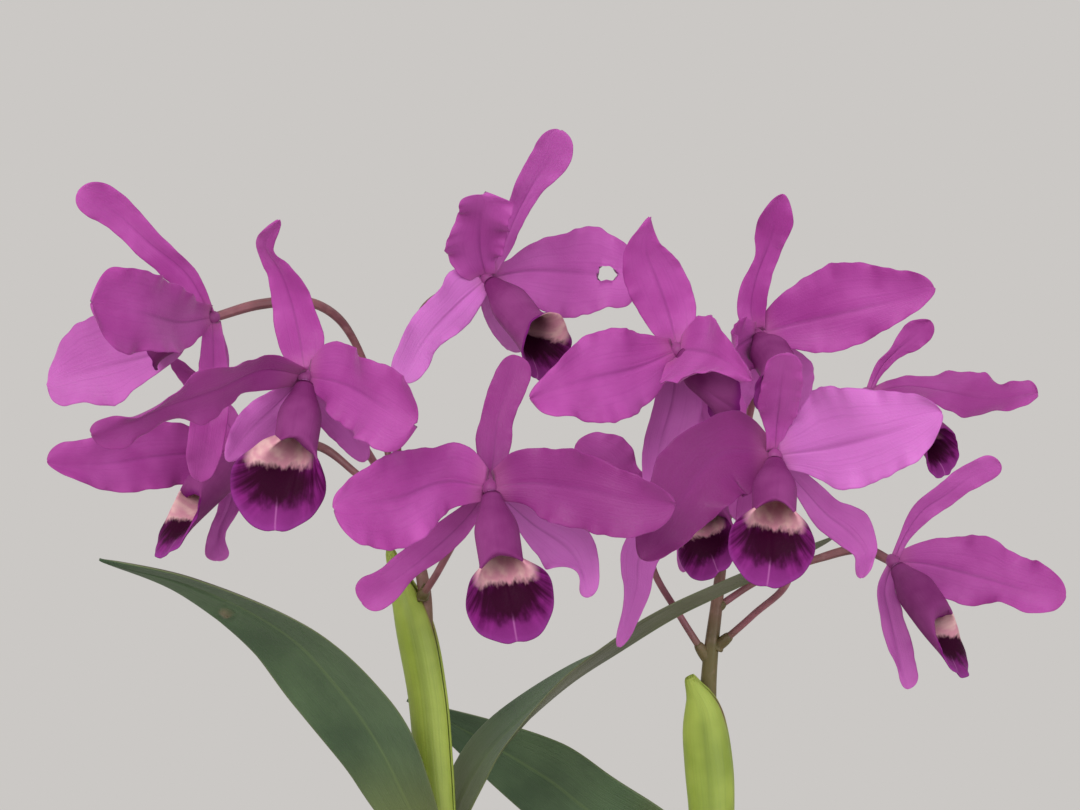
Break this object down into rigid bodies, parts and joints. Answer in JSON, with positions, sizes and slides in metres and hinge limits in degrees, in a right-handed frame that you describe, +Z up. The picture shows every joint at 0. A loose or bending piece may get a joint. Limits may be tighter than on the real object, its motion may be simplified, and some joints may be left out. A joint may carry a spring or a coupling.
{
  "type": "potted guarianthe bowringiana",
  "caption": "Potted cattleya-type orchid: clay pot of bark, slender pseudobulbs with leathery leaves, and sprays of rose-purple blooms with dark trumpet lips.",
  "frame": {"origin": "centre of the pot's flat base, on the surface it stands on", "axes": "+Z up; -Y towards the viewer of the reference picture, +X to that viewer's right"},
  "size_m": [0.2897, 0.2491, 0.4859],
  "materials": {
    "clay": "matte",
    "bark": "matte",
    "root": "matte",
    "pseudobulb": "satin",
    "leaf": "satin",
    "sheath": "satin",
    "stem": "satin",
    "petal": "satin",
    "lip": "satin"
  },
  "bodies": {
    "root": {"pot": "clay", "potting_bark": "bark", "rhizome": "root", "pseudobulb_left": "pseudobulb", "pseudobulb_right": "pseudobulb", "pseudobulb_back_1": "pseudobulb", "pseudobulb_back_2": "pseudobulb", "pseudobulb_back_3": "pseudobulb", "pseudobulb_back_4": "pseudobulb", "sheath_left": "sheath", "sheath_right": "sheath", "leaf_left_a": "leaf", "leaf_left_b": "leaf", "leaf_right_a": "leaf", "leaf_right_b": "leaf", "leaf_back_1a": "leaf", "leaf_back_1b": "leaf", "leaf_back_2a": "leaf", "leaf_back_2b": "leaf", "leaf_back_3a": "leaf", "leaf_back_3b": "leaf", "leaf_back_4a": "leaf", "leaf_back_4b": "leaf", "spray_left": "stem", "spray_right": "stem", "bloom_1": "petal", "lip_1": "lip", "bloom_2": "petal", "lip_2": "lip", "bloom_3": "petal", "lip_3": "lip", "bloom_4": "petal", "lip_4": "lip", "bloom_5": "petal", "lip_5": "lip", "bloom_6": "petal", "lip_6": "lip", "bloom_7": "petal", "lip_7": "lip", "bloom_8": "petal", "lip_8": "lip", "bloom_9": "petal", "lip_9": "lip", "bloom_10": "petal", "lip_10": "lip", "bloom_11": "petal", "lip_11": "lip"}
  },
  "joints": []
}
